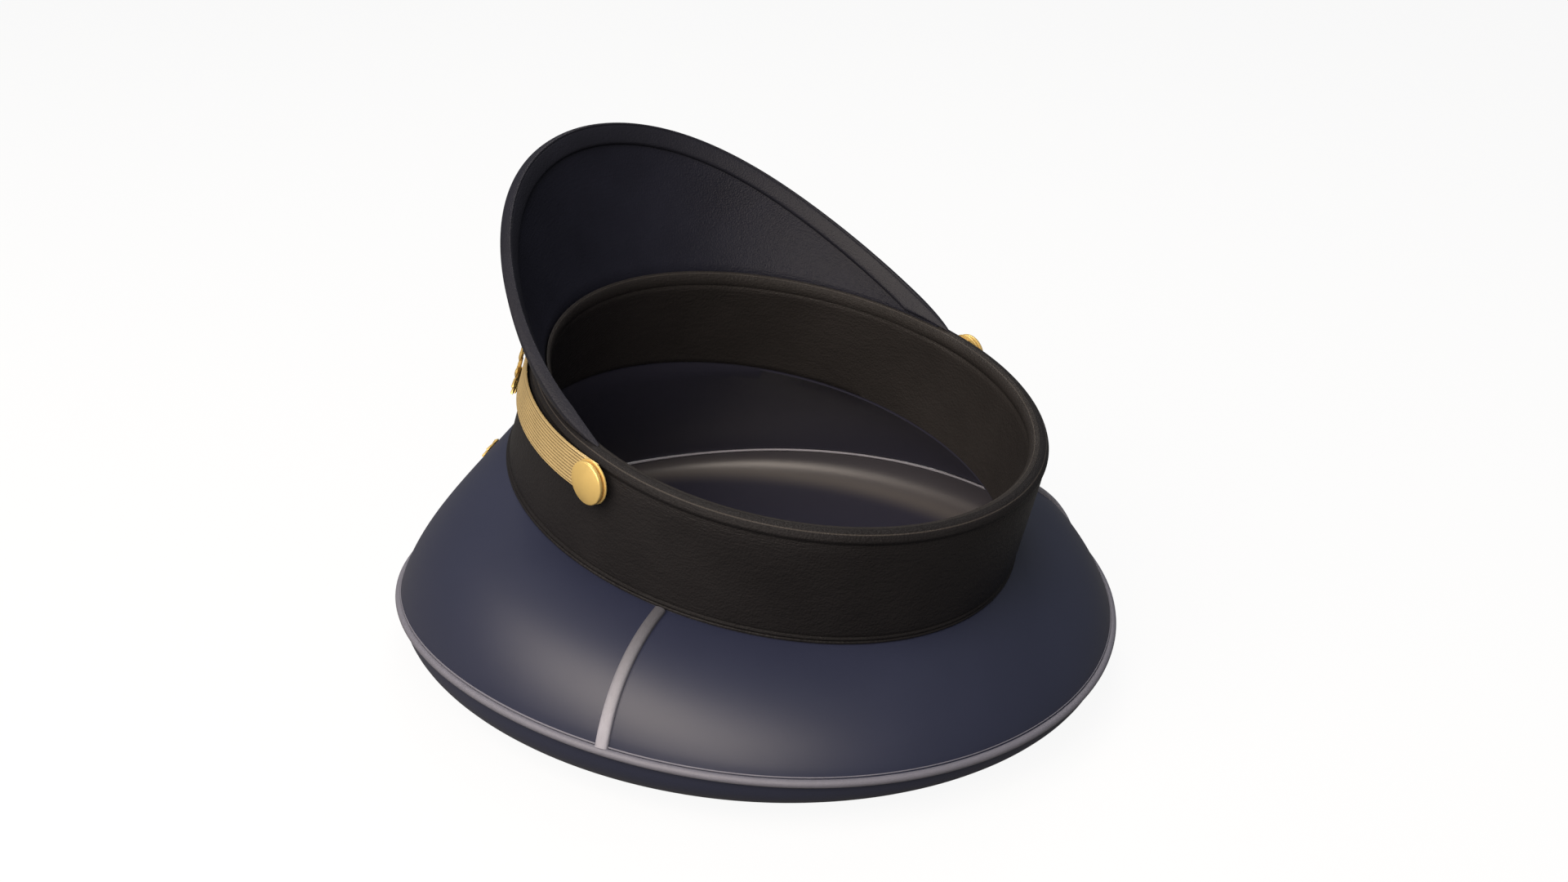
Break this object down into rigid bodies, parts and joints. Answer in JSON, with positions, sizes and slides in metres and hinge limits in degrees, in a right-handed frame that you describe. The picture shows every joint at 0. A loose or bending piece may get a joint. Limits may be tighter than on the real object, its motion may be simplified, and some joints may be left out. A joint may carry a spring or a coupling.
{
  "type": "peaked cap",
  "caption": "Peaked cap lying on its crown: wide flared crown, leather band, raised visor, ribbed gold chin strap on side buttons, laurel ornaments.",
  "frame": {"origin": "middle of the crown's top, on the flat patch that the cap lies on", "axes": "+Z from the crown towards the head opening, -Y towards the visor, +X towards the wearer's right"},
  "size_m": [0.284, 0.2924, 0.1923],
  "materials": {
    "navy_cloth": "wool barathea, satin sheen",
    "felt_piping": "felt",
    "satin_lining": "satin",
    "interlining": "canvas",
    "band_leather": "fine grain",
    "sweat_leather": "fine grain",
    "visor_leather": "fine grain",
    "board": "pressed board",
    "gold_braid": "metal braid",
    "gilt": "gilt, polished",
    "spring_steel": "plain",
    "brass_fixings": "plain"
  },
  "bodies": {
    "cap": {"crown_top_panel": "navy_cloth", "crown_front_panel": "navy_cloth", "crown_rear_panel": "navy_cloth", "crown_edge_piping": "felt_piping", "side_seam_piping_left": "felt_piping", "side_seam_piping_right": "felt_piping", "crown_wire_ring": "spring_steel", "wire_ring_sleeve": "brass_fixings", "crown_top_pad": "interlining", "crown_top_lining": "satin_lining", "crown_wall_lining": "satin_lining", "lining_welt": "felt_piping", "front_stay": "board", "stay_spring": "spring_steel", "band_cover": "band_leather", "band_lower_welt": "band_leather", "band_stiffener": "board", "sweatband": "sweat_leather", "visor_board": "board", "visor_cover": "visor_leather", "visor_lining": "visor_leather", "visor_binding": "visor_leather", "button_washer_left": "brass_fixings", "button_washer_right": "brass_fixings", "band_badge_wreath": "gilt", "band_badge_rosette": "gilt", "band_badge_posts": "brass_fixings", "band_badge_nuts": "brass_fixings", "crown_badge_spray": "gilt", "crown_badge_posts": "brass_fixings", "crown_badge_washers": "brass_fixings"},
    "chin_strap": {"chin_strap": "gold_braid", "strap_end_left": "gilt", "strap_end_right": "gilt"},
    "button_left": {"side_button_left": "gilt", "button_post_left": "brass_fixings"},
    "button_right": {"side_button_right": "gilt", "button_post_right": "brass_fixings"}
  },
  "joints": [
    {"name": "strap_tilt", "type": "hinge", "parent": "cap", "child": "chin_strap", "pos_m": [0, 0.02, 0.1048], "axis": [-1, 0, 0], "range_deg": [-1.5, 1.5]},
    {"name": "left_button_turn", "type": "hinge", "parent": "cap", "child": "button_left", "pos_m": [-0.1, 0.02, 0.1048], "axis": [-1, 0, 0], "continuous": true},
    {"name": "right_button_turn", "type": "hinge", "parent": "cap", "child": "button_right", "pos_m": [0.1, 0.02, 0.1048], "axis": [1, 0, 0], "continuous": true}
  ]
}
